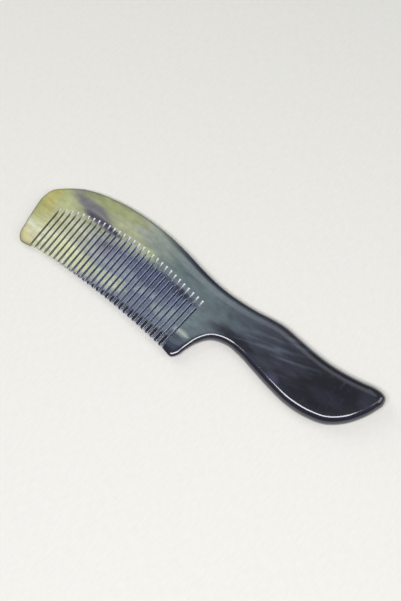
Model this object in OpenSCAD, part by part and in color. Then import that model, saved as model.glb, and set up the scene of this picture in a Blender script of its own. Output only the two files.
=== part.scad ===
// Handled comb, sawn and carved from one plate of horn.
// Millimetres. X runs along the comb from the front of the head (-X) to the end of the
// handle (+X), the teeth point to -Y and the comb lies flat on Z = 0.
// The comb is one piece of material; the nodes are the regions a comb maker works one by
// one (back, two guards, handle, every tooth) and they meet face to face.

/* [Plate] */

// Length of the comb over both ends
overall_length = 180; // [150:1:210]
// Thickness of the plate at the front of the head
front_thickness = 3.8; // [3.2:0.1:5]
// Thickness of the plate at the end of the handle
handle_thickness = 7.0; // [5.5:0.1:9]
// How far the rounded edge reaches in from the outline of the head
head_round = 1.0; // [0.5:0.1:1.4]
// How far the rounded edge reaches in from the outline of the handle
handle_round = 3.0; // [1:0.1:3.4]

/* [Teeth] */

// Number of teeth between the two guards
tooth_count = 29; // [20:1:34]
// Width of one saw cut
slot_width = 0.85; // [0.6:0.05:1.1]
// Depth of horn between the top of the back and the end of the first through cut
back_band = 16.3; // [12:0.1:18]
// How much less of that depth is left at the rear end of the row
band_loss = 1.1; // [0:0.1:2]
// Lean of the first saw cut, tip towards the handle
first_lean = 0.9; // [0:0.1:4]
// How far the last cut has turned from the first, tip towards the head
lean_change = 5.0; // [0:0.1:7]
// Share by which the spacing opens out towards the handle
spacing_growth = 0.03; // [0:0.01:0.08]
// Thickness left at the tips of the teeth, as a share of the plate
tip_share = 0.45; // [0.3:0.05:0.8]
// Radius of the circular saw that leaves the sloping ends of the cuts
saw_radius = 32; // [26:1:45]

/* [Smoothness] */

// Straight steps in each stretch of the outline
curve_steps = 4; // [3:1:5]

/* [Hidden] */

// The points below draw a comb of this length; plan brings it to the length asked for.
drawn_length = 178.8;
plan = overall_length / drawn_length;

// Outline, as points that the smooth curve passes through.
front_end = [-89.4, 1.2];
lower_edge = [
    [-88.6, -5.8], [-87.1, -13.8], [-85.7, -18.8], [-83.1, -21.3], [-79.0, -21.0],
    [-70.0, -19.4], [-58.0, -18.8], [-45.0, -18.6], [-30.0, -18.9], [-15.0, -19.8],
    [0.5, -20.9], [3.7, -21.7], [6.3, -21.9], [8.1, -19.9], [9.4, -15.7], [11.5, -10.2],
    [15.2, -5.6], [21.5, -3.3], [29.0, -3.6], [38.0, -5.4], [48.0, -7.4], [58.0, -8.6],
    [67.0, -7.9], [75.0, -5.4], [80.8, -0.8], [85.3, 5.3], [88.3, 11.7]
];
handle_end = [89.4, 16.1];
upper_edge = [
    [-87.9, 6.9], [-84.5, 10.2], [-80.5, 13.2], [-76.0, 15.9], [-70.0, 18.2],
    [-62.0, 20.1], [-52.0, 21.5], [-42.0, 22.0], [-30.0, 21.5], [-18.0, 19.9],
    [-6.0, 17.6], [2.0, 16.5], [6.0, 16.2], [10.0, 16.1], [13.5, 16.2], [17.0, 16.4],
    [24.0, 17.1], [30.0, 18.1], [37.0, 18.8], [46.0, 18.0], [54.0, 17.2], [62.0, 16.9],
    [70.0, 17.5], [77.0, 18.6], [83.0, 19.8], [86.4, 19.7], [88.6, 18.6]
];

// Row of saw cuts, measured where the cuts cross the line y = row_y.
row_y = -7.8 * plan;
row_start = -77.9 * plan;
row_length = 79.5 * plan;

// The tips lie on a shallow arc, lowest at both ends of the row.
tip_peak = [-43 * plan, -18.7 * plan];
tip_arc_radius = 390 * plan;

// The tooth side of the head is thinned from y = 0 down to the tips.
thin_depth = 22 * plan;
thin_full_x = 8 * plan;
thin_none_x = 20 * plan;

// Where the handle begins.
neck_x = 14 * plan;

// The rounding changes from head size to handle size between these two places.
round_from_x = -20 * plan;
round_to_x = 45 * plan;
under_round = 0.6;
round_height = 0.8;

// The saw's axle is this far above the table. At the table the blade would stop short of the root line,
// so each through cut ends in a low step, with the sloping end of the cut above it.
saw_height = 28;
root_overcut = -2.7;

// Each tip is rounded off over these shares of the tooth's width and of its thickness there.
tip_plan_round = 0.6;
tip_side_round = 0.8;

// The middle line of each flat side lies between these shares of the way across the comb.
middle_nearest = 0.15;
middle_furthest = 0.5;

// Larger than the comb in every direction, and than one tooth.
reach = 120 * plan;
tall = 12;
below = 1;
tooth_room = 10;

horn_pale = "#b9bd8c";
horn_grey = "#6f7a70";
horn_dark = "#23252b";
horn_tooth = "#8f9474";

function tooth_name(i) = str("tooth_", i < 10 ? "0" : "", i);

// ---- smooth closed outline ----

function reversed(list) = [for (i = [len(list) - 1:-1:0]) list[i]];

control = plan * concat([front_end], lower_edge, [handle_end], reversed(upper_edge));
controls = len(control);

function around(list, i) = list[(i + len(list)) % len(list)];

// Direction of the curve at a control point, from its two neighbours.
function heading(i) =
    let (
        before = around(control, i) - around(control, i - 1),
        after = around(control, i + 1) - around(control, i),
        a = norm(before),
        b = norm(after)
    )
    (before * b / a + after * a / b) / (a + b);

function hermite(p, q, u, v, t) =
    p * (2 * t ^ 3 - 3 * t ^ 2 + 1) + q * (3 * t ^ 2 - 2 * t ^ 3)
    + u * (t ^ 3 - 2 * t ^ 2 + t) + v * (t ^ 3 - t ^ 2);

outline = [
    for (i = [0:controls - 1])
        let (
            p = control[i],
            q = around(control, i + 1),
            span = norm(q - p)
        )
        for (s = [0:curve_steps - 1])
            hermite(p, q, heading(i) * span, heading(i + 1) * span, s / curve_steps)
];
count = len(outline);
half = count / 2;

// Height of the upper outline over a place along the comb.
upper_line = [for (i = [0:half]) around(outline, -i)];

function upper_y(x) = lookup(x, upper_line);

// ---- plate thickness ----

function ramp(x, from, to) = let (t = min(1, max(0, (x - from) / (to - from)))) t * t * (3 - 2 * t);

function top_z(x) =
    front_thickness + (handle_thickness - front_thickness) * (x / overall_length + 0.5);

// Share of the thickness that is left at a place in plan.
function share(x, y) =
    1 - (1 - tip_share) * min(1, max(0, -y / thin_depth)) * (1 - ramp(x, thin_full_x, thin_none_x));

function thinned(x, y, z) = let (mid = top_z(x) / 2) mid + (z - mid) * share(x, y);

function round_at(x) = head_round + (handle_round - head_round) * ramp(x, round_from_x, round_to_x);

// ---- the plate as rings round the outline ----

// Each step is [angle, side]: side 0 climbs the lower rounding, side 1 the upper one.
ring_steps = [[90, 0], [45, 0], [0, 0], [0, 1], [30, 1], [60, 1], [90, 1]];
rings = len(ring_steps);

function inward(i) =
    let (d = around(outline, i + 1) - around(outline, i - 1))
    [-d[1], d[0]] / norm(d);

function ring_point(i, angle, side) =
    let (
        size = round_at(outline[i][0]) * (side == 1 ? 1 : under_round),
        p = outline[i] + inward(i) * size * (1 - cos(angle)),
        drop = size * round_height * (1 - sin(angle)),
        z = side == 1 ? top_z(p[0]) - drop : drop
    )
    [p[0], p[1], thinned(p[0], p[1], z)];

// Points down the middle of a face, on the line where the thinning starts.
function middle_point(i, side) =
    let (
        low = ring_point(i, 90, side),
        high = ring_point(count - i, 90, side),
        t = min(middle_furthest, max(middle_nearest, -low[1] / (high[1] - low[1]))),
        p = low + (high - low) * t
    )
    [p[0], p[1], side == 1 ? top_z(p[0]) : 0];

ring_points = [for (step = ring_steps) for (i = [0:count - 1]) ring_point(i, step[0], step[1])];
middle_points = [for (side = [0, 1]) for (i = [1:half - 1]) middle_point(i, side)];

function ring_index(r, i) = r * count + (i + count) % count;
function middle_index(side, i) = rings * count + side * (half - 1) + i - 1;

side_faces = [
    for (r = [0:rings - 2]) for (i = [0:count - 1])
        let (
            a = ring_index(r, i),
            b = ring_index(r, i + 1),
            c = ring_index(r + 1, i + 1),
            d = ring_index(r + 1, i)
        )
        each [[a, d, c], [a, c, b]]
];

// One flat side: two strips of quads that meet on the middle line, and a fan at each end.
function flat_faces(r, side) = concat(
    [
        for (i = [1:half - 2])
            let (
                a = ring_index(r, i),
                b = ring_index(r, i + 1),
                m = middle_index(side, i),
                n = middle_index(side, i + 1),
                c = ring_index(r, -i),
                d = ring_index(r, -i - 1)
            )
            each [[a, m, b], [b, m, n], [m, c, n], [n, c, d]]
    ],
    let (a = ring_index(r, 0), b = ring_index(r, 1), c = ring_index(r, -1), m = middle_index(side, 1))
        [[a, m, b], [a, c, m]],
    let (
        a = ring_index(r, half - 1),
        b = ring_index(r, half),
        c = ring_index(r, half + 1),
        m = middle_index(side, half - 1)
    )
        [[a, m, b], [m, c, b]]
);

function flipped(faces) = [for (f = faces) reversed(f)];

module plate() {
    polyhedron(
        points = concat(ring_points, middle_points),
        faces = concat(side_faces, flat_faces(rings - 1, 1), flipped(flat_faces(0, 0))),
        convexity = 6
    );
}

// ---- saw cuts ----

function fraction(k) = k / tooth_count;
function cut_x(k) =
    let (f = fraction(k))
    row_start + row_length * (f - spacing_growth * f * (1 - f));
function cut_lean(k) = first_lean - lean_change * fraction(k) ^ 2;
function cut_x_at(k, y) = cut_x(k) + (row_y - y) * tan(cut_lean(k));

// End of a through cut, a fixed depth under the top of the back.
function root_point(k) =
    let (y = upper_y(cut_x(k)) - (back_band - band_loss * fraction(k)) * plan)
    [cut_x_at(k, y), y];

root_points = [for (k = [0:tooth_count]) root_point(k)];

module saw(k) {
    root = root_points[k];
    bottom_reach = sqrt(saw_radius ^ 2 - saw_height ^ 2);
    translate([root[0], root[1], 0])
        rotate([0, 0, cut_lean(k)])
            translate([-slot_width / 2, root_overcut - bottom_reach, saw_height])
                rotate([0, 90, 0])
                    cylinder(r = saw_radius, h = slot_width);
}

// ---- regions of the plate ----

module region(points) {
    translate([0, 0, -below])
        linear_extrude(height = tall)
            polygon(points);
}

module back() {
    first = root_points[0];
    last = root_points[tooth_count];
    color(horn_pale)
        difference() {
            intersection() {
                plate();
                region(concat(
                    [[-reach, first[1]]],
                    root_points,
                    [[neck_x, last[1]], [neck_x, reach], [-reach, reach]]
                ));
            }
            for (k = [0:tooth_count]) saw(k);
        }
}

module handle() {
    color(horn_dark)
        intersection() {
            plate();
            region([[neck_x, -reach], [reach, -reach], [reach, reach], [neck_x, reach]]);
        }
}

// Side of a saw cut at a given height in plan, side -1 or 1.
function flank(k, y, side) = [cut_x_at(k, y) + side * slot_width / 2, y];

module front_guard() {
    root = root_points[0];
    color(horn_pale)
        intersection() {
            plate();
            region([[-reach, -reach], flank(0, -reach, -1), flank(0, root[1], -1), [-reach, root[1]]]);
        }
}

module rear_guard() {
    root = root_points[tooth_count];
    color(horn_grey)
        intersection() {
            plate();
            region([
                flank(tooth_count, -reach, 1), [neck_x, -reach],
                [neck_x, root[1]], flank(tooth_count, root[1], 1)
            ]);
        }
}

// ---- teeth ----

function tip_y(x) =
    let (d = x - tip_peak[0])
    tip_peak[1] + sqrt(tip_arc_radius ^ 2 - d ^ 2) - tip_arc_radius;

// Place on the root line where the side of a cut meets it.
function root_side(k, side) =
    let (
        p = root_points[k],
        q = root_points[k + side],
        t = slot_width / 2 / abs(q[0] - p[0])
    )
    p + (q - p) * t;

// Half turn of points that rounds an end of the given width and reach.
function round_end(left, right, reach_out) = [
    for (a = [0:20:180])
        (left + right) / 2 - (right - left) / 2 * cos(a) - [0, reach_out * sin(a)]
];

module tooth(i) {
    mid_x = (cut_x(i - 1) + cut_x(i)) / 2;
    end_y = tip_y(cut_x_at(i, tip_peak[1]));
    blunt = (cut_x(i) - cut_x(i - 1) - slot_width) * tip_plan_round;
    left = flank(i - 1, end_y + blunt, 1);
    right = flank(i, end_y + blunt, -1);
    thick = top_z(mid_x);
    tip_z = thick / 2 * share(mid_x, end_y);
    mid_z = thick / 2;
    tip_round = tip_z * tip_side_round;
    base_y = max(root_points[i - 1][1], root_points[i][1]) + below;
    color(horn_tooth)
        intersection() {
            region(concat(
                round_end(left, right, blunt),
                [root_side(i, -1), root_side(i - 1, 1)]
            ));
            translate([mid_x - tooth_room / 2, 0, 0])
                rotate([90, 0, 90])
                    linear_extrude(height = tooth_room)
                        polygon(concat(
                            [
                                for (a = [-90:18:90])
                                    [end_y + tip_round * (1 - cos(a)), mid_z + tip_z * sin(a)]
                            ],
                            [[0, thick], [base_y, thick], [base_y, 0], [0, 0]]
                        ));
        }
}

back();
handle();
front_guard();
rear_guard();
for (i = [1:tooth_count])
    tooth(i);
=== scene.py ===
import bpy
import bmesh
import math
from mathutils import Matrix, Vector, kdtree


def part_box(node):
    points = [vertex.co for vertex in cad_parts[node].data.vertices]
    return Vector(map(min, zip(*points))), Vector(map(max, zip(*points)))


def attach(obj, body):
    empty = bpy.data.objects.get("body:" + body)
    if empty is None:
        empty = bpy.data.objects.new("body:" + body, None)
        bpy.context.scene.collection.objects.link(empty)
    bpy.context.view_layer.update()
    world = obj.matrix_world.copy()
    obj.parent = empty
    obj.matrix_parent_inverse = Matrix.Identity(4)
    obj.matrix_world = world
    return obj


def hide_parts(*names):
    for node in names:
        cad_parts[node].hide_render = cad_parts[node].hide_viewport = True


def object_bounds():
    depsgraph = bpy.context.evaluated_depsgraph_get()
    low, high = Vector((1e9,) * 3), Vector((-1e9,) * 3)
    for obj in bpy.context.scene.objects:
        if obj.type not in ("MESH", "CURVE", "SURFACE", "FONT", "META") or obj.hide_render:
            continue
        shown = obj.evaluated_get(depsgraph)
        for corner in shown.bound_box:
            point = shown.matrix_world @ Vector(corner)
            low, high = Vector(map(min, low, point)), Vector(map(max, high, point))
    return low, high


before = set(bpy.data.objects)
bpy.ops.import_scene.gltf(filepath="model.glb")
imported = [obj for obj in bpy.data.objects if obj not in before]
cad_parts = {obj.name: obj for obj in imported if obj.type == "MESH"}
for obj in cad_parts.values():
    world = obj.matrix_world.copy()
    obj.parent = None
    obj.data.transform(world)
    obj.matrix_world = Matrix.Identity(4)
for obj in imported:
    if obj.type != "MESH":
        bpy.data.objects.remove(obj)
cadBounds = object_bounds()
mm = 0.001
hair = 1e-7                           # metres; points closer than this count as level
print("frame loaded:", len(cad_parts), "nodes")


def deselectAll():
    if bpy.context.object and bpy.context.object.mode == "EDIT":
        bpy.ops.object.mode_set(mode="OBJECT")
    bpy.ops.object.select_all(action="DESELECT")


def makeActive(piece):
    deselectAll()
    piece.select_set(True)
    bpy.context.view_layer.objects.active = piece


def copyOf(piece, name):
    makeActive(piece)
    bpy.ops.object.duplicate()
    twin = bpy.context.object
    twin.name = twin.data.name = name
    return twin


def applyModifiers(piece):
    makeActive(piece)
    for modifier in list(piece.modifiers):
        bpy.ops.object.modifier_apply(modifier=modifier.name)


def smooth(t):
    t = min(1, max(0, t))
    return t * t * (3 - 2 * t)


# the plate, drawn in millimetres for a comb of drawnLength and brought to the frame's length
plate = {
    "drawnLength": 178.8,
    # the outline passes through these points, in order from the front end to the handle's end
    "frontEnd": (-89.4, 1.2),
    "lowerEdge": [
        (-88.6, -5.8), (-87.1, -13.8), (-85.7, -18.8), (-83.1, -21.3), (-79.0, -21.0), (-70.0, -19.4),
        (-58.0, -18.8), (-45.0, -18.6), (-30.0, -18.9), (-15.0, -19.8), (0.5, -20.9), (3.7, -21.7),
        (6.3, -21.9), (8.1, -19.9), (9.4, -15.7), (11.5, -10.2), (15.2, -5.6), (21.5, -3.3),
        (29.0, -3.6), (38.0, -5.4), (48.0, -7.4), (58.0, -8.6), (67.0, -7.9), (75.0, -5.4),
        (80.8, -0.8), (85.3, 5.3), (88.3, 11.7)],
    "handleEnd": (89.4, 16.1),
    "upperEdge": [
        (-87.9, 6.9), (-84.5, 10.2), (-80.5, 13.2), (-76.0, 15.9), (-70.0, 18.2), (-62.0, 20.1),
        (-52.0, 21.5), (-42.0, 22.0), (-30.0, 21.5), (-18.0, 19.9), (-6.0, 17.6), (2.0, 16.5),
        (6.0, 16.2), (10.0, 16.1), (13.5, 16.2), (17.0, 16.4), (24.0, 17.1), (30.0, 18.1),
        (37.0, 18.8), (46.0, 18.0), (54.0, 17.2), (62.0, 16.9), (70.0, 17.5), (77.0, 18.6),
        (83.0, 19.8), (86.4, 19.7), (88.6, 18.6)],
    "steps": 10,                      # straight steps in each stretch of the outline
    "frontThickness": 3.8,
    "handleThickness": 7.0,
    "headRound": 1.0,                 # reach of the polished edge at the head
    "handleRound": 3.0,               # and along the grip
    "roundFrom": -20, "roundTo": 45,  # where the one grows into the other
    "underRound": 0.6,                # the lower rounding as a share of the upper one
    "roundSteps": 6,
    "crownHead": 0.25,                # how far the polished face falls away towards its edge
    "crownHandle": 0.90,
    "crownReach": 7.0,                # over this distance
    "crownFrom": -60, "crownTo": 0,   # where the one grows into the other
    "tipShare": 0.45,                 # thickness left at the tips of the teeth
    "thinDepth": 22,                  # how far below the long axis that is
    "thinFull": 8, "thinNone": 20,    # the thinning fades out between these, before the grip
    "neck": 14,                       # where the head ends and the handle begins
}
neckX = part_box("handle")[0].x
plateTall = plate["handleThickness"] * mm
planScale = neckX / (plate["neck"] * mm)


def inPlan(point):
    return Vector((point[0], point[1])) * planScale * mm


def topHeight(x):
    share = x / (plate["drawnLength"] * planScale * mm) + 0.5
    return (plate["frontThickness"] + (plate["handleThickness"] - plate["frontThickness"]) * share) * mm


def thinning(x, y):
    depth = min(1, max(0, -y / (plate["thinDepth"] * planScale * mm)))
    where = (x / planScale / mm - plate["thinFull"]) / (plate["thinNone"] - plate["thinFull"])
    return 1 - (1 - plate["tipShare"]) * depth * (1 - smooth(where))


def growing(x, head, handle, begin, end):
    # a size that grows smoothly from its value at the head to its value at the handle
    where = (x / planScale / mm - plate[begin]) / (plate[end] - plate[begin])
    return (plate[head] + (plate[handle] - plate[head]) * smooth(where)) * mm


def edgeRound(x):
    return growing(x, "headRound", "handleRound", "roundFrom", "roundTo")


def crownAt(x):
    return growing(x, "crownHead", "crownHandle", "crownFrom", "crownTo")


def drawOutline():
    control = [plate["frontEnd"]] + plate["lowerEdge"] + [plate["handleEnd"]] + plate["upperEdge"][::-1]
    control = [inPlan(point) for point in control]
    count = len(control)
    bpy.ops.curve.primitive_bezier_circle_add(radius=1, location=(0, 0, 0))
    outline = bpy.context.object
    spline = outline.data.splines[0]
    spline.bezier_points.add(count - len(spline.bezier_points))
    for i, point in enumerate(spline.bezier_points):
        here, before, after = control[i], control[i - 1], control[(i + 1) % count]
        a, b = (here - before).length, (after - here).length
        heading = ((here - before) * b / a + (after - here) * a / b) / (a + b)
        point.handle_left_type = point.handle_right_type = "FREE"
        point.co = (here.x, here.y, 0)
        point.handle_left = (*(here - heading * a / 3), 0)
        point.handle_right = (*(here + heading * b / 3), 0)
    outline.data.resolution_u = plate["steps"]
    bpy.ops.object.convert(target="MESH")
    return bpy.context.object


def isLevel(shape, height):
    return all(abs(v.co.z - height) < hair for v in shape.verts)


def walkLoop(mesh, height):
    # vertices of the flat face's border in order, starting nearest the front end
    edges = [e for e in mesh.edges if isLevel(e, height)]
    start = min((v for e in edges for v in e.verts), key=lambda v: v.co.x)
    links = {}
    for e in edges:
        for v in e.verts:
            links.setdefault(v, []).append(e.other_vert(v))
    first = min(links[start], key=lambda v: v.co.y)
    path = [start, first]
    while True:
        here, last = path[-1], path[-2]
        following = [v for v in links[here] if v is not last][0]
        if following is start:
            return path
        path.append(following)


def gridFace(mesh, height):
    # the flat face becomes a grid that runs from the lower to the upper edge
    for face in [f for f in mesh.faces if isLevel(f, height)]:
        mesh.faces.remove(face)
    path = walkLoop(mesh, height)
    half, end = len(path) // 2, plate["steps"]
    lower = [path[i] for i in range(end, half - end + 1)]
    upper = [path[-i] for i in range(end, half - end + 1)]
    rails = [mesh.edges.get(pair) for side in (lower, upper) for pair in zip(side, side[1:])]
    bmesh.ops.grid_fill(mesh, edges=rails, use_interp_simple=True)


def raisePlate():
    # the outline drawn up to a flat plate with sharp edges
    piece = drawOutline()
    piece.name = "plateBlank"
    bpy.ops.object.mode_set(mode="EDIT")
    bpy.ops.mesh.select_all(action="SELECT")
    bpy.ops.mesh.edge_face_add()
    bpy.ops.mesh.extrude_region_move(TRANSFORM_OT_translate={"value": (0, 0, plateTall)})
    bpy.ops.mesh.select_all(action="SELECT")
    bpy.ops.mesh.normals_make_consistent(inside=False)
    bpy.ops.object.mode_set(mode="OBJECT")
    return piece


def measureOutline(piece):
    # the upper outline in order, and a tree that finds how far a point lies inside the outline
    vertices = piece.data.vertices
    count = len(vertices) // 2
    upper = [vertices[-i % count].co.copy() for i in range(count // 2 + 1)]
    border = kdtree.KDTree(len(vertices))
    for i, vertex in enumerate(vertices):
        border.insert((vertex.co.x, vertex.co.y, 0), i)
    border.balance()
    return upper, border


def inward(point):
    return border.find((point.x, point.y, 0))[2]


def roundEdges(piece):
    widest = plate["handleRound"] * mm
    weights = piece.data.attributes.new("bevel_weight_edge", "FLOAT", "EDGE")
    for edge in piece.data.edges:
        a, b = (piece.data.vertices[i].co for i in edge.vertices)
        if abs(a.z - b.z) < plateTall / 2:
            share = 1 if a.z > plateTall / 2 else plate["underRound"]
            weights.data[edge.index].value = share * edgeRound((a.x + b.x) / 2) / widest
    bevel = piece.modifiers.new("polishedEdge", "BEVEL")
    bevel.limit_method = "WEIGHT"
    bevel.width = widest
    bevel.segments = plate["roundSteps"]
    bevel.use_clamp_overlap = False
    applyModifiers(piece)


def shapeFaces(piece):
    # the top rises to the handle and falls away at its edge, and the plate thins towards the teeth's tips
    mesh = bmesh.new()
    mesh.from_mesh(piece.data)
    gridFace(mesh, plateTall)
    gridFace(mesh, 0)
    for vertex in mesh.verts:
        x, y, z = vertex.co
        if z > plateTall / 2:
            z -= plateTall - topHeight(x)
            z -= crownAt(x) * (1 - min(1, inward(vertex.co) / (plate["crownReach"] * mm))) ** 2
        middle = topHeight(x) / 2
        vertex.co.z = middle + (z - middle) * thinning(x, y)
    bmesh.ops.recalc_face_normals(mesh, faces=mesh.faces)
    mesh.to_mesh(piece.data)
    mesh.free()


blank = raisePlate()
upperLine, border = measureOutline(blank)
roundEdges(blank)
shapeFaces(blank)
print("plate:", len(blank.data.polygons), "faces")


# the row of saw cuts, numbered from the front; positions follow the same rule as the CAD row
saw = {
    "teeth": 29,
    "slot": 0.85,                     # width of a cut
    "rowY": -7.8,                     # the row is measured along this line
    "rowStart": -77.9,
    "rowLength": 79.5,
    "growth": 0.03,                   # spacing opens out towards the grip
    "firstLean": 0.9,
    "leanChange": 5.0,
    "band": 16.3,                     # uncut band over the first and the last cut
    "bandLoss": 1.1,
    "radius": 32,
    "height": 28,                     # axle of the saw over the table
    "overcut": -2.7,                  # how far a cut passes the root line at the table; below 0 falls short
    "bladeSides": 160,
    "hairline": 0.005,                # gaps up to this size are closed after sawing
}
lastCut = saw["teeth"]


def upperEdgeAt(x):
    for a, b in zip(upperLine, upperLine[1:]):
        if a.x <= x <= b.x:
            return a.y + (b.y - a.y) * (x - a.x) / (b.x - a.x)
    raise ValueError("no upper edge there")


def cutX(k):
    f = k / lastCut
    return (saw["rowStart"] + saw["rowLength"] * (f - saw["growth"] * f * (1 - f))) * planScale * mm


def cutLean(k):
    return math.radians(saw["firstLean"] - saw["leanChange"] * (k / lastCut) ** 2)


def cutXAt(k, y):
    return cutX(k) + (saw["rowY"] * planScale * mm - y) * math.tan(cutLean(k))


def flankX(k, y, side):
    return cutXAt(k, y) + side * saw["slot"] / 2 * mm


def flankNormal(k, side):
    return (side * math.cos(cutLean(k)), side * math.sin(cutLean(k)), 0)


def rootPoint(k):
    y = upperEdgeAt(cutX(k)) - (saw["band"] - saw["bandLoss"] * k / lastCut) * planScale * mm
    return Vector((cutXAt(k, y), y))


rootPoints = [rootPoint(k) for k in range(lastCut + 1)]


def sliceOff(piece, point, normal):
    # keeps what lies behind the plane and closes the cut
    makeActive(piece)
    bpy.ops.object.mode_set(mode="EDIT")
    bpy.ops.mesh.select_all(action="SELECT")
    bpy.ops.mesh.bisect(
        plane_co=point, plane_no=normal, use_fill=True, clear_outer=True, clear_inner=False, threshold=hair)
    bpy.ops.object.mode_set(mode="OBJECT")


def cutWith(piece, tool, operation):
    boolean = piece.modifiers.new(operation, "BOOLEAN")
    boolean.operation = operation
    boolean.solver = "EXACT"
    boolean.object = tool
    applyModifiers(piece)
    bpy.data.objects.remove(tool)


def mend(piece):
    # closes the hairline gaps that a cut can leave; sorted points make every run end the same
    mesh = bmesh.new()
    mesh.from_mesh(piece.data)
    rank = {vertex: i for i, vertex in enumerate(sorted(mesh.verts, key=lambda v: v.co[:]))}
    mesh.verts.sort(key=rank.get)
    mesh.to_mesh(piece.data)
    mesh.free()
    makeActive(piece)
    bpy.ops.object.mode_set(mode="EDIT")
    bpy.ops.mesh.select_all(action="SELECT")
    bpy.ops.mesh.remove_doubles(threshold=saw["hairline"] * mm)
    bpy.ops.mesh.normals_make_consistent(inside=False)
    bpy.ops.object.mode_set(mode="OBJECT")


def regionBlock(corners):
    # a block with these corners, well taller than the plate
    shape = bpy.data.meshes.new("regionBlock")
    shape.from_pydata([(*corner, -plateTall) for corner in corners], [], [range(len(corners))])
    block = bpy.data.objects.new("regionBlock", shape)
    bpy.context.collection.objects.link(block)
    makeActive(block)
    bpy.ops.object.mode_set(mode="EDIT")
    bpy.ops.mesh.select_all(action="SELECT")
    bpy.ops.mesh.extrude_region_move(TRANSFORM_OT_translate={"value": (0, 0, 3 * plateTall)})
    bpy.ops.mesh.select_all(action="SELECT")
    bpy.ops.mesh.normals_make_consistent(inside=False)
    bpy.ops.object.mode_set(mode="OBJECT")
    return block


def sawBlades():
    blades = []
    reach = math.sqrt(saw["radius"] ** 2 - saw["height"] ** 2)
    inset = (saw["overcut"] - reach) * mm
    for k, root in enumerate(rootPoints):
        lean = cutLean(k)
        bpy.ops.mesh.primitive_cylinder_add(
            vertices=saw["bladeSides"], radius=saw["radius"] * mm, depth=saw["slot"] * mm,
            location=(root.x - inset * math.sin(lean), root.y + inset * math.cos(lean), saw["height"] * mm),
            rotation=(0, math.pi / 2, lean))
        blades.append(bpy.context.object)
    deselectAll()
    for blade in blades:
        blade.select_set(True)
    bpy.context.view_layer.objects.active = blades[0]
    bpy.ops.object.join()
    bpy.ops.object.transform_apply(location=True, rotation=True, scale=True)
    return bpy.context.object


far = cadBounds[1].x * 2
firstRoot, lastRoot = rootPoints[0], rootPoints[-1]

handle = copyOf(blank, "hornHandle")
sliceOff(handle, (neckX, 0, 0), (-1, 0, 0))

sliceOff(blank, (neckX, 0, 0), (1, 0, 0))
back = copyOf(blank, "hornBack")
aboveRoots = [(-far, firstRoot.y), *rootPoints, (far, lastRoot.y), (far, far), (-far, far)]
cutWith(back, regionBlock(aboveRoots), "INTERSECT")
cutWith(back, sawBlades(), "DIFFERENCE")
mend(back)
print("back sawn:", len(back.data.polygons), "faces")

frontGuard = copyOf(blank, "hornFrontGuard")
sliceOff(frontGuard, (flankX(0, 0, -1), 0, 0), flankNormal(0, 1))
sliceOff(frontGuard, (0, firstRoot.y, 0), (0, 1, 0))
rearGuard = copyOf(blank, "hornRearGuard")
sliceOff(rearGuard, (flankX(lastCut, 0, 1), 0, 0), flankNormal(lastCut, -1))
sliceOff(rearGuard, (0, lastRoot.y, 0), (0, 1, 0))
print("handle and guards cut")


# teeth: one is filed to shape, copied, and each copy is set into its own place in the row
tooth = {
    "width": 1.9, "length": 20.0, "thickness": 4.4,
    "edgeRound": 0.26, "edgeSteps": 3,
    "rings": 14,                      # cross sections along the tooth
    "domeSteps": 5, "domeTurn": 80,   # degrees of arc that the domed tip turns through
    "domeReach": 0.9,                 # its length as a share of half the width
    "tipPeak": (-43, -18.7),          # the line of the tips is an arc, and this is its highest point
    "tipArc": 390,
    "waist": 0.16,                    # share of the width filed away at the tip
    "waistFrom": 0.6,
}


def fileTooth():
    width, length, thickness = (tooth[key] * mm for key in ("width", "length", "thickness"))
    bpy.ops.mesh.primitive_cube_add(size=1, location=(0, -length / 2, 0), scale=(width, length, thickness))
    bpy.ops.object.transform_apply(location=True, rotation=True, scale=True)
    piece = bpy.context.object
    piece.name = "toothPattern"
    bpy.ops.object.mode_set(mode="EDIT")
    mesh = bmesh.from_edit_mesh(piece.data)

    def pickLong():
        bpy.ops.mesh.select_all(action="DESELECT")
        for e in mesh.edges:
            e.select_set(abs(e.verts[0].co.y - e.verts[1].co.y) > length / 2)
        bmesh.update_edit_mesh(piece.data)

    bpy.ops.mesh.select_mode(type="EDGE")
    pickLong()
    bpy.ops.mesh.bevel(offset=tooth["edgeRound"] * mm, segments=tooth["edgeSteps"], affect="EDGES")
    mesh = bmesh.from_edit_mesh(piece.data)
    pickLong()
    bpy.ops.mesh.subdivide(number_cuts=tooth["rings"])
    mesh = bmesh.from_edit_mesh(piece.data)
    bpy.ops.mesh.select_mode(type="FACE")
    bpy.ops.mesh.select_all(action="DESELECT")
    for face in mesh.faces:
        face.select_set(all(abs(v.co.y + length) < hair for v in face.verts))
    bmesh.update_edit_mesh(piece.data)
    reach = tooth["domeReach"] * width / 2
    turn = math.radians(tooth["domeTurn"]) / tooth["domeSteps"]
    for i in range(tooth["domeSteps"]):
        step = reach * (math.sin((i + 1) * turn) - math.sin(i * turn))
        shrink = math.cos((i + 1) * turn) / math.cos(i * turn)
        bpy.ops.mesh.extrude_region_move(TRANSFORM_OT_translate={"value": (0, -step, 0)})
        bpy.ops.transform.resize(value=(shrink, 1, shrink))
    bpy.ops.object.mode_set(mode="OBJECT")
    return piece


def tipY(x):
    away = x - tooth["tipPeak"][0] * planScale * mm
    arc = tooth["tipArc"] * planScale * mm
    return tooth["tipPeak"][1] * planScale * mm + math.sqrt(arc ** 2 - away ** 2) - arc


def rootSide(k, side):
    here, other = rootPoints[k], rootPoints[k + side]
    return here + (other - here) * (saw["slot"] / 2 * mm / abs(other.x - here.x))


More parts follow.
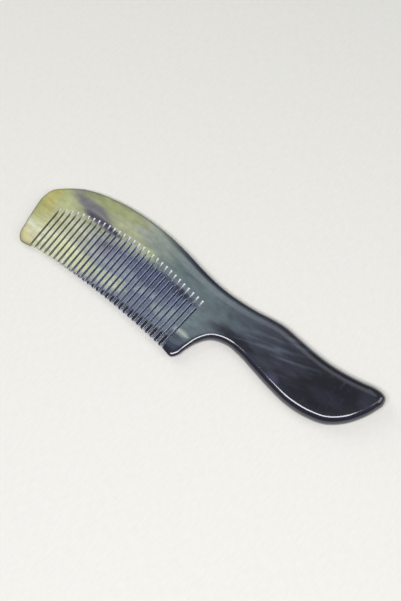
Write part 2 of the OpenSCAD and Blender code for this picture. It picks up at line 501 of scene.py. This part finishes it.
def setTooth(piece, i):
    # spreads the filed tooth between its own two cuts, from the root line to the line of the tips
    width, length, thickness = (tooth[key] * mm for key in ("width", "length", "thickness"))
    left, right = rootSide(i - 1, 1), rootSide(i, -1)
    dome = tooth["domeReach"] * width / 2 * math.sin(math.radians(tooth["domeTurn"]))
    domeY = tipY(cutXAt(i, tooth["tipPeak"][1] * planScale * mm)) + dome
    for vertex in piece.data.vertices:
        across, along, over = vertex.co.x / width + 0.5, -vertex.co.y / length, vertex.co.z / thickness
        rootY = left.y + (right.y - left.y) * across
        y = rootY + (domeY - rootY) * min(1, along) - max(0, along - 1) * length
        filed = 1 - tooth["waist"] * smooth((along - tooth["waistFrom"]) / (1 - tooth["waistFrom"]))
        across = 0.5 + (across - 0.5) * filed
        x = flankX(i - 1, y, 1) * (1 - across) + flankX(i, y, -1) * across
        middle = topHeight(x) / 2
        vertex.co = (x, y, middle + over * 2 * middle * thinning(x, y))


filedTooth = fileTooth()
teeth = []
for i in range(1, saw["teeth"] + 1):
    piece = copyOf(filedTooth, "hornTooth%02d" % i)
    setTooth(piece, i)
    teeth.append(piece)
bpy.data.objects.remove(filedTooth)
bpy.data.objects.remove(blank)
print("teeth filed:", len(teeth), "of", len(teeth[0].data.polygons), "faces each")


# the horn's colours and polish, in drawn millimetres on Object coordinates, so they run on between pieces
class Wire:
    # wraps a socket, so that shader maths reads as plain arithmetic
    def __init__(self, tree, socket=None):
        self.tree, self.socket = tree, socket

    def add(self, kind, settings={}, sockets={}, output=0):
        node = self.tree.nodes.new(kind)
        for key, value in settings.items():
            if key == "stops":
                stops = node.color_ramp.elements
                while len(stops) < len(value):
                    stops.new(0.5)
                for stop, (place, colour) in zip(stops, value):
                    stop.position, stop.color = place, colour
            else:
                setattr(node, key, value)
        for key, value in sockets.items():
            if isinstance(value, Wire):
                self.tree.links.new(value.socket, node.inputs[key])
            else:
                node.inputs[key].default_value = value
        return Wire(self.tree, node.outputs[output] if len(node.outputs) else None)

    def maths(self, operation, *values):
        return self.add("ShaderNodeMath", {"operation": operation}, dict(enumerate(values)))

    def __add__(self, other):
        return self.maths("ADD", self, other)

    def __radd__(self, other):
        return self.maths("ADD", other, self)

    def __sub__(self, other):
        return self.maths("SUBTRACT", self, other)

    def __rsub__(self, other):
        return self.maths("SUBTRACT", other, self)

    def __mul__(self, other):
        return self.maths("MULTIPLY", self, other)

    def __rmul__(self, other):
        return self.maths("MULTIPLY", other, self)

    def step(self, low, high, toLow=0.0, toHigh=1.0):
        # smooth step from toLow to toHigh while the value goes from low to high
        return self.add("ShaderNodeMapRange", {"interpolation_type": "SMOOTHSTEP"}, {
            "Value": self, "From Min": low, "From Max": high, "To Min": toLow, "To Max": toHigh})

    def blend(self, first, second, amount, mode="MIX"):
        return self.add("ShaderNodeMix", {"data_type": "RGBA", "blend_type": mode}, {
            0: amount, 6: first, 7: second}, 2)

    def over(self, colour, amount, mode="MIX"):
        # this colour with another one laid over it
        return self.blend(self, colour, amount, mode)

    def vector(self, operation, *values):
        return self.add("ShaderNodeVectorMath", {"operation": operation}, dict(enumerate(values)))

    def axis(self, vector, which):
        return self.add("ShaderNodeSeparateXYZ", {}, {0: vector}, which)

    def noise(self, place, grain, output=0):
        # grain is a pattern's scaling along and across, the size of one cloud, its detail and its distortion
        scaling, size, detail, distortion = grain
        return self.add("ShaderNodeTexNoise", {"noise_dimensions": "3D"}, {
            "Vector": self.vector("MULTIPLY", place, scaling), "Scale": 1 / size,
            "Detail": detail, "Distortion": distortion}, output)


def tint(red, green, blue):
    # a colour given as seen on a screen, 0 to 255
    linear = [((c / 255 + 0.055) / 1.055) ** 2.4 for c in (red, green, blue)]
    return (*linear, 1)


horn = {
    # plain colour from the front end to the handle's end, in the back and lower down in the teeth
    "alongTheBack": [
        (-89, (158, 168, 108)), (-84, (172, 178, 118)), (-74, (170, 176, 128)), (-60, (156, 162, 120)),
        (-46, (156, 162, 128)), (-36, (144, 152, 134)), (-26, (124, 136, 124)), (-16, (102, 116, 113)),
        (-6, (96, 109, 110)), (6, (94, 107, 108)), (15, (86, 97, 101)), (24, (70, 77, 84)),
        (34, (60, 63, 72)), (46, (46, 47, 56)), (58, (29, 29, 34)), (74, (25, 25, 30)), (89, (29, 29, 36))],
    "alongTheTeeth": [
        (-89, (164, 170, 108)), (-82, (180, 182, 128)), (-74, (194, 196, 152)), (-66, (194, 196, 164)),
        (-56, (164, 168, 156)), (-46, (140, 144, 146)), (-36, (134, 142, 146)), (-26, (106, 116, 128)),
        (-16, (98, 108, 122)), (-6, (106, 118, 128)), (5, (104, 117, 117)), (14, (88, 98, 102)),
        (22, (58, 62, 70)), (36, (48, 50, 59)), (50, (36, 36, 44)), (70, (25, 25, 30)), (89, (29, 29, 36))],
    "rampEnds": (-90, 90),
    "backAbove": (-1, 7),             # where the teeth's colours pass into the back's
    # noise patterns: scaling, size of one cloud, detail, distortion; a small scaling draws the clouds out
    "grains": {
        "drift": ((0.4, 1, 1), 15.0, 1.0, 0.0),
        "fineDrift": ((0.4, 1, 1), 3.6, 3.0, 0.0),
        "ragged": ((0.25, 1, 1), 1.6, 4.0, 0.0),
        "streaks": ((0.1, 1, 1), 2.6, 3.0, 0.4),
        "specks": ((0.7, 1, 1), 1.3, 4.0, 0.0),
        "speckGroups": ((1, 1, 1), 8.0, 2.0, 0.0),
        "fibres": ((0.05, 1, 1), 0.55, 3.0, 0.0),
        "mottling": ((0.6, 1, 1), 2.4, 4.0, 0.0),
        "drawnClouds": ((0.12, 1, 1), 3.0, 3.0, 0.6),
        "smudges": ((1, 1, 1), 9.0, 4.0, 0.0),
        "hollows": ((1, 1, 1), 16.0, 2.0, 0.0)},
    "push": {"drift": (13.75, 5.5, 0), "fineDrift": (4.8, 2.4, 0)},      # how far clouds are pushed about
    "ragged": 1.8, "cloudEdge": (0.0, 1.9),
    "clouds": [
        ((-84, 4), (3.5, 9), 4, (186, 176, 98), 0.6),
        ((-76, 6), (3.5, 5), 20, (192, 198, 144), 0.5),
        ((-84, -12), (6, 4), 8, (208, 209, 178), 0.85),
        ((-83, -18.5), (8, 5), 0, (212, 203, 150), 0.8),
        ((-69, 12.5), (11, 5.5), -14, (128, 126, 124), 0.85),
        ((-62, 10), (11, 3.6), -8, (114, 112, 118), 0.85),
        ((-57, 6.9), (10, 2.0), -2, (66, 66, 82), 0.9),
        ((-50, 7.2), (5, 1.2), 0, (52, 52, 68), 0.9),
        ((-58, 16.5), (16, 2.6), 4, (158, 164, 112), 0.7),
        ((-46, 12), (9, 3), -3, (178, 182, 146), 0.7),
        ((-39, 15), (7, 1.5), -8, (150, 154, 150), 0.7),
        ((-28, 13), (9, 2.0), -12, (146, 156, 146), 0.5),
        ((-32, 8.8), (6.5, 1.7), -3, (176, 184, 122), 0.7),
        ((-68, -14), (14, 6), 0, (220, 222, 188), 0.85),
        ((-46, -0.5), (10, 3.6), 0, (114, 114, 126), 0.7),
        ((-48, 0.3), (3.4, 1.5), 6, (96, 80, 84), 0.75),
        ((-43, 0.8), (2, 1.1), 0, (98, 82, 86), 0.65),
        ((-58, -12.5), (12, 4.0), 0, (206, 211, 160), 0.85),
        ((-39, -11.5), (10, 3.2), 0, (192, 198, 162), 0.85),
        ((-36, 6.6), (9, 1.6), 0, (170, 176, 152), 0.7),
        ((-31, 0.6), (12, 3.4), -2, (104, 112, 130), 0.75),
        ((-20, 0.5), (19, 4.4), -3, (76, 84, 106), 0.95),
        ((-25, -2), (7, 2.6), 0, (72, 78, 94), 0.7),
        ((-9, 2.9), (9, 1.8), -2, (46, 46, 62), 0.95),
        ((-22, 3), (10, 1.6), 0, (66, 70, 88), 0.7),
        ((-24, -7.2), (3.2, 1.6), 0, (152, 163, 158), 0.7),
        ((-17, -6.2), (2.6, 1.4), 0, (150, 160, 158), 0.6),
        ((-11, -9.5), (3.4, 1.8), 0, (148, 160, 152), 0.7),
        ((-5, -8), (3, 2.4), 0, (146, 158, 150), 0.6),
        ((5, -11.3), (4.5, 1.3), 5, (176, 186, 176), 0.85),
        ((4, -18.5), (8, 6), 0, (60, 68, 80), 1.0),
        ((4.5, -15.2), (4, 0.9), 5, (92, 102, 112), 0.7),
        ((22, -0.4), (10, 3.2), -3, (36, 35, 43), 0.95),
        ((28, -1), (9, 2.2), 0, (30, 30, 38), 0.8),
        ((16.5, 7.5), (2.2, 1.2), 20, (70, 72, 80), 0.6),
        ((52, 4), (9, 3), 15, (56, 58, 70), 0.5),
        # painted reflection: a bluish patch beside the start of the grip's lower edge highlight
        ((48.5, -3.4), (3.4, 1.4), -10, (74, 76, 98), 0.55),
        ((72, 3), (7, 3), 10, (44, 45, 58), 0.5),
        ((84, 12), (4, 4), 60, (54, 55, 68), 0.45)],
    "shading": {"fibres": 0.25, "mottling": 0.7, "drawnClouds": 0.5},    # how much each changes the colour
    "ior": 1.54,
    "smoothAngle": 40,                # edges sharper than this stay sharp
}
# the finishes below give their places in drawn millimetres along the comb, and their levels as a share
# lighter streaks that run aslant through the neck into the grip
streaks = {
    "turn": 17, "begin": (16, 30), "end": (44, 66), "lower": (-4, 3), "level": (0.46, 0.7),
    "colour": (104, 113, 126), "amount": 0.5,
}
# pale specks in the dark grip
specks = {
    "level": (0.5, 0.75), "groupLevel": (0.4, 0.65), "begin": (36, 56),
    "colour": (58, 60, 80), "amount": 0.5,
}
# dark tips, deeper towards the rear of the row
tips = {
    "grow": (-58, -24), "depth": (-18.3, -15.3), "edge": (0.5, -0.9), "ragged": 0.3,
    "begin": (-62, -50), "end": (0.5, 2.0), "colour": (26, 26, 32), "amount": 0.95,
}
# painted shade and dark reflection along the outline, where the rounded edge turns away from the light;
# deeper along the neck and the grip
rim = {
    "reach": 4.0, "headLevel": (0.6, 1.0), "headAmount": 0.6, "gripLevel": (0.24, 0.62), "gripAmount": 0.92,
    "headToGrip": (-45, -2), "colour": (24, 25, 40),
}
# the faces inside the cuts between the teeth: painted shade at the front, a painted bluish glow of light
# through the horn at the rear, and painted highlights on their rounded edges
cutLightAndShade = {
    "begin": (-81, -79.5), "end": (4, 5), "frontToRear": (-68, -46),
    "edgeLevel": (0.15, 0.5), "edgeBegin": (-66, -44), "edgeAmount": (0.3, 0.8),
    "edgeHighlightColour": (178, 192, 222),
    "level": (0.7, 0.95), "amount": 0.8, "frontColour": (140, 143, 116), "rearColour": (92, 102, 130),
}
polish = {
    "roughness": 0.15, "uneven": 0.12,
    "bump": 0.10, "bumpDepth": 0.0004, "fibreBump": 0.02,
    "coat": 0.9, "coatRoughness": 0.05, "coatIor": 1.5,
}
# the sloping ends of the cuts, rough and pale from the saw, and made near white as painted glints
sawnEndGlints = {
    "forward": 0.5, "slope": (0.2, 0.8),      # how their faces point, by which they are found
    "colour": (250, 250, 255), "begin": (-80, -64), "amount": (0.5, 0.95),
    "roughness": 0.4, "uneven": 0.1,
}


def markPaintedRimShade(piece):
    # 1 on the outline, falling to 0 further in, kept on the mesh as the mask of the painted rim shade
    marks = piece.data.attributes.new("rim", "FLOAT", "POINT")
    for vertex in piece.data.vertices:
        marks.data[vertex.index].value = max(0, 1 - inward(vertex.co) / (rim["reach"] * mm))


def alongRamp(x, colours):
    low, high = horn["rampEnds"]
    stops = [((along - low) / (high - low), tint(*colour)) for along, colour in colours]
    share = x.add("ShaderNodeMapRange", {}, {"Value": x, "From Min": low, "From Max": high})
    return x.add("ShaderNodeValToRGB", {"stops": stops}, {0: share})


def newMaterial(name):
    material = bpy.data.materials.new(name)
    material.use_nodes = True
    material.node_tree.nodes.clear()
    return material, Wire(material.node_tree)


def pushAbout(start, place):
    # moves each point a little, so that clouds get natural outlines
    pushed = place
    for name, reach in horn["push"].items():
        push = start.vector("SUBTRACT", start.noise(place, horn["grains"][name], 1), (0.5, 0.5, 0.5))
        pushed = start.vector("ADD", pushed, start.vector("MULTIPLY", push, reach))
    return pushed


def cloudedColour(start, place, x, y):
    colour = alongRamp(x, horn["alongTheTeeth"])
    colour = colour.over(alongRamp(x, horn["alongTheBack"]), y.step(*horn["backAbove"]))
    ragged = (start.noise(place, horn["grains"]["ragged"]) - 0.5) * horn["ragged"]
    for centre, size, turn, shade, strength in horn["clouds"]:
        c, s = math.cos(math.radians(turn)), math.sin(math.radians(turn))
        away, beside = x - centre[0], y - centre[1]
        a = away * (c / size[0]) + beside * (s / size[0])
        b = beside * (c / size[1]) - away * (s / size[1])
        cover = (a * a + b * b + ragged).step(*horn["cloudEdge"], strength, 0.0)
        colour = colour.over(tint(*shade), cover)
    return colour


def hornColour(start, place):
    grains = horn["grains"]
    pushed = pushAbout(start, place)
    x, y = start.axis(pushed, 0), start.axis(pushed, 1)
    plainX, plainY = start.axis(place, 0), start.axis(place, 1)
    colour = cloudedColour(start, place, x, y)

    turned = start.add("ShaderNodeMapping", {}, {
        "Vector": place, "Rotation": (0, 0, math.radians(-streaks["turn"]))})
    streak = start.noise(turned, grains["streaks"]).step(*streaks["level"])
    streak = streak * x.step(*streaks["begin"]) * x.step(*streaks["end"], 1.0, 0.0)
    streak = streak * y.step(*streaks["lower"])
    colour = colour.over(tint(*streaks["colour"]), streak * streaks["amount"])

    speck = start.noise(place, grains["specks"]).step(*specks["level"])
    speck = speck * start.noise(place, grains["speckGroups"]).step(*specks["groupLevel"])
    speck = speck * plainX.step(*specks["begin"])
    colour = colour.over(tint(*specks["colour"]), speck * specks["amount"])

    depth = plainX.step(*tips["grow"], *tips["depth"])
    tip = (plainY * (1 - tips["ragged"]) + y * tips["ragged"] - depth).step(*tips["edge"])
    tip = tip * plainX.step(*tips["begin"]) * plainX.step(*tips["end"], 1.0, 0.0)
    colour = colour.over(tint(*tips["colour"]), tip * tips["amount"])

    light = 1
    for name, amount in horn["shading"].items():
        light = light + (start.noise(place, grains[name]) - 0.5) * amount
    grey = start.add("ShaderNodeCombineColor", {}, {0: light, 1: light, 2: light})
    colour = colour.over(grey, 1.0, "MULTIPLY")

    # painted shade along the outline, darker and wider on the grip
    mark = start.add("ShaderNodeAttribute", {"attribute_name": "rim"}, {}, 2)
    headRimShade = mark.step(*rim["headLevel"]) * rim["headAmount"]
    gripRimShade = mark.step(*rim["gripLevel"]) * rim["gripAmount"]
    share = plainX.step(*rim["headToGrip"])
    colour = colour.over(tint(*rim["colour"]), headRimShade * (1 - share) + gripRimShade * share)

    facing = start.axis(start.add("ShaderNodeTexCoord", {}, {}, "Normal"), 0)
    steep = facing.maths("ABSOLUTE", facing)
    inRow = plainX.step(*cutLightAndShade["begin"]) * plainX.step(*cutLightAndShade["end"], 1.0, 0.0)
    # painted highlight: pale bluish lines on the rounded edges of the teeth beside the cuts
    paintedEdgeHighlight = steep.step(*cutLightAndShade["edgeLevel"]) * inRow * plainX.step(*cutLightAndShade["edgeBegin"], *cutLightAndShade["edgeAmount"])
    colour = colour.over(tint(*cutLightAndShade["edgeHighlightColour"]), paintedEdgeHighlight)
    # painted shade and glow on the walls of the cuts, darker at the front and bluish at the rear
    front, rear = tint(*cutLightAndShade["frontColour"]), tint(*cutLightAndShade["rearColour"])
    wallShadeAndGlow = start.blend(front, rear, plainX.step(*cutLightAndShade["frontToRear"]))
    return colour.over(wallShadeAndGlow, steep.step(*cutLightAndShade["level"]) * inRow * cutLightAndShade["amount"])


def hornMaterial(name, sawn):
    material, start = newMaterial(name)
    metres = start.add("ShaderNodeTexCoord", {}, {}, "Object")
    place = start.vector("MULTIPLY", metres, (1 / (planScale * mm),) * 3)
    colour = hornColour(start, place)
    grains = horn["grains"]
    smudges = start.noise(place, grains["smudges"])
    if sawn:
        # the ends' near-white colour is partly pale sawn horn and partly a painted glint
        paleAndGlint = start.axis(place, 0).step(*sawnEndGlints["begin"], *sawnEndGlints["amount"])
        shader = start.add("ShaderNodeBsdfPrincipled", {}, {
            "Base Color": colour.over(tint(*sawnEndGlints["colour"]), paleAndGlint), "IOR": horn["ior"],
            "Roughness": sawnEndGlints["roughness"] + smudges * sawnEndGlints["uneven"]})
    else:
        fibres = start.noise(place, grains["fibres"])
        height = start.noise(place, grains["hollows"]) + fibres * polish["fibreBump"]
        bump = start.add("ShaderNodeBump", {}, {
            "Strength": polish["bump"], "Distance": polish["bumpDepth"], "Height": height})
        shader = start.add("ShaderNodeBsdfPrincipled", {}, {
            "Base Color": colour, "IOR": horn["ior"], "Normal": bump,
            "Roughness": polish["roughness"] + (smudges - 0.5) * polish["uneven"],
            "Coat Weight": polish["coat"], "Coat Roughness": polish["coatRoughness"],
            "Coat IOR": polish["coatIor"]})
    start.add("ShaderNodeOutputMaterial", {}, {"Surface": shader})
    return material


def isSawnEnd(face):
    low, high = sawnEndGlints["slope"]
    return face.normal.y < -sawnEndGlints["forward"] and low < face.normal.z < high


hornFinish = hornMaterial("polishedHorn", sawn=False)
sawnFinish = hornMaterial("sawnHornGlint", sawn=True)
standsFor = {"handle": handle, "back": back, "front_guard": frontGuard, "rear_guard": rearGuard}
standsFor.update({"tooth_%02d" % (i + 1): piece for i, piece in enumerate(teeth)})
for node, piece in standsFor.items():
    makeActive(piece)
    bpy.ops.object.shade_smooth_by_angle(angle=math.radians(horn["smoothAngle"]))
    piece.data.materials.clear()
    piece.data.materials.append(hornFinish)
    if piece not in teeth:
        markPaintedRimShade(piece)
    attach(piece, "root")
    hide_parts(node)
back.data.materials.append(sawnFinish)
for face in back.data.polygons:
    if isSawnEnd(face):
        face.material_index = 1
print("horn finished:", len(standsFor), "pieces")


# table, light and camera
studio = {
    "floorSize": 1.8, "floorDrop": 0.0001, "floorColour": (231, 230, 220),
    "floorUneven": 5,                 # how far its colour strays either way
    "floorGrain": ((900, 260, 1), 1.0, 3.0, 0.0),
    "floorRoughness": 0.85, "floorIor": 1.3,
    "world": (0.75, 0.8, 0.9), "worldStrength": 0.21,
    # name, place, length and width, turn of its length from the comb, brightness, colour
    "lamps": [
        ("edgeLamp", (0.15, -0.28, 0.72), (0.75, 0.19), 28, 12.0, (0.96, 0.94, 1.0)),
        ("sheenLamp", (-0.14, 0.40, 0.68), (0.40, 0.17), 14, 0.80, (0.88, 0.90, 1.0)),
        ("leftBox", (-0.78, 0.14, 0.42), (0.60, 0.70), 90, 1.9, (0.98, 0.99, 0.97)),
        ("rightBox", (0.66, 0.27, 0.54), (0.50, 0.50), 90, 2.0, (0.98, 0.99, 0.97))],
    "notMirrored": ("leftBox",),      # lights the comb but leaves no image of itself in the polish
    "cameraTurn": 48,                 # degrees round the comb, from the side of the teeth
    "cameraHeight": 70,               # degrees above the table
    "cameraRoll": 10, "cameraAim": (0, 0.0065, 0), "cameraDistance": 0.355, "lens": 47.9,
}


def layTable():
    bpy.ops.mesh.primitive_plane_add(size=studio["floorSize"], location=(0, 0, -studio["floorDrop"]))
    floor = bpy.context.object
    floor.name = "floor"
    material, start = newMaterial("paleTable")
    uneven = start.noise(start.add("ShaderNodeTexCoord", {}, {}, "Object"), studio["floorGrain"])
    dark, light = (tint(*[c + stray for c in studio["floorColour"]])
                   for stray in (-studio["floorUneven"], studio["floorUneven"]))
    shader = start.add("ShaderNodeBsdfPrincipled", {}, {
        "Base Color": start.blend(dark, light, uneven),
        "Roughness": studio["floorRoughness"], "IOR": studio["floorIor"]})
    start.add("ShaderNodeOutputMaterial", {}, {"Surface": shader})
    floor.data.materials.append(material)


def hangLamps():
    world = bpy.data.worlds.new("studio")
    bpy.context.scene.world = world
    world.use_nodes = True
    air = world.node_tree.nodes["Background"]
    air.inputs["Color"].default_value = (*studio["world"], 1)
    air.inputs["Strength"].default_value = studio["worldStrength"]
    for name, place, size, turn, brightness, colour in studio["lamps"]:
        bpy.ops.object.light_add(type="AREA", location=place)
        lamp = bpy.context.object
        lamp.name = lamp.data.name = name
        away = Vector(place).normalized()          # the lamp looks at the middle of the comb
        along = Matrix.Rotation(math.radians(turn), 3, "Z") @ Vector((1, 0, 0))
        along = (along - away * along.dot(away)).normalized()
        lamp.rotation_euler = Matrix((along, away.cross(along), away)).transposed().to_euler()
        lamp.visible_glossy = name not in studio["notMirrored"]
        lamp.data.shape = "RECTANGLE"
        lamp.data.size, lamp.data.size_y = size
        lamp.data.energy = brightness * size[0] * size[1] * math.pi
        lamp.data.color = colour


def setCamera():
    facing = Matrix.Rotation(math.radians(studio["cameraTurn"]), 4, "Z")
    facing @= Matrix.Rotation(math.radians(90 - studio["cameraHeight"]), 4, "X")
    facing @= Matrix.Rotation(math.radians(-studio["cameraRoll"]), 4, "Z")
    bpy.ops.object.camera_add()
    camera = bpy.context.object
    camera.matrix_world = (Matrix.Translation(studio["cameraAim"]) @ facing
                           @ Matrix.Translation((0, 0, studio["cameraDistance"])))
    camera.data.lens = studio["lens"]
    bpy.context.scene.camera = camera


layTable()
hangLamps()
setCamera()
bpy.context.scene.view_settings.view_transform = "Standard"
print("table, lamps and camera set")
